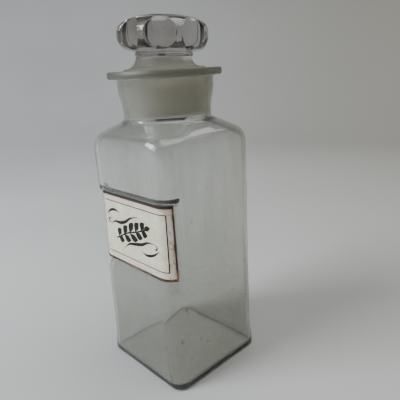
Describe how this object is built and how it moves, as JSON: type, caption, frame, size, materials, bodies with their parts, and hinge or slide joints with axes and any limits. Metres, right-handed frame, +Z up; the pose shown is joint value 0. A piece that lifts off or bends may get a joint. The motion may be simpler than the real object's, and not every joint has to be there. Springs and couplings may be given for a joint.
{
  "type": "apothecary jar",
  "caption": "Square glass shop jar with rounded shoulder, flanged ground neck, lift-out fluted stopper and a curved label under glass.",
  "frame": {"origin": "centre of the jar's base, on the surface it stands on", "axes": "+Z up along the jar's axis, -Y out of the face that carries the label, +X to the right seen from the label"},
  "size_m": [0.08, 0.08, 0.2381],
  "materials": {
    "jar_glass": "clear flint glass, mould blown, with a ground bore in the neck",
    "stopper_glass": "pressed clear glass head, fine-ground plug",
    "label_glass": "thin glossy curved pane",
    "label_print": "aged cream paper with a dark printed frame",
    "resin_cement": "dark amber resin, glossy where it is thick"
  },
  "bodies": {
    "jar": {"jar_body": "jar_glass", "label_glass": "label_glass", "label_sheet": "label_print", "label_cement": "resin_cement"},
    "stopper": {"stopper": "stopper_glass"}
  },
  "joints": [
    {"name": "stopper_lift", "type": "slide", "parent": "jar", "child": "stopper", "axis": [0, 0, 1], "range_m": [0, 0.04]}
  ]
}
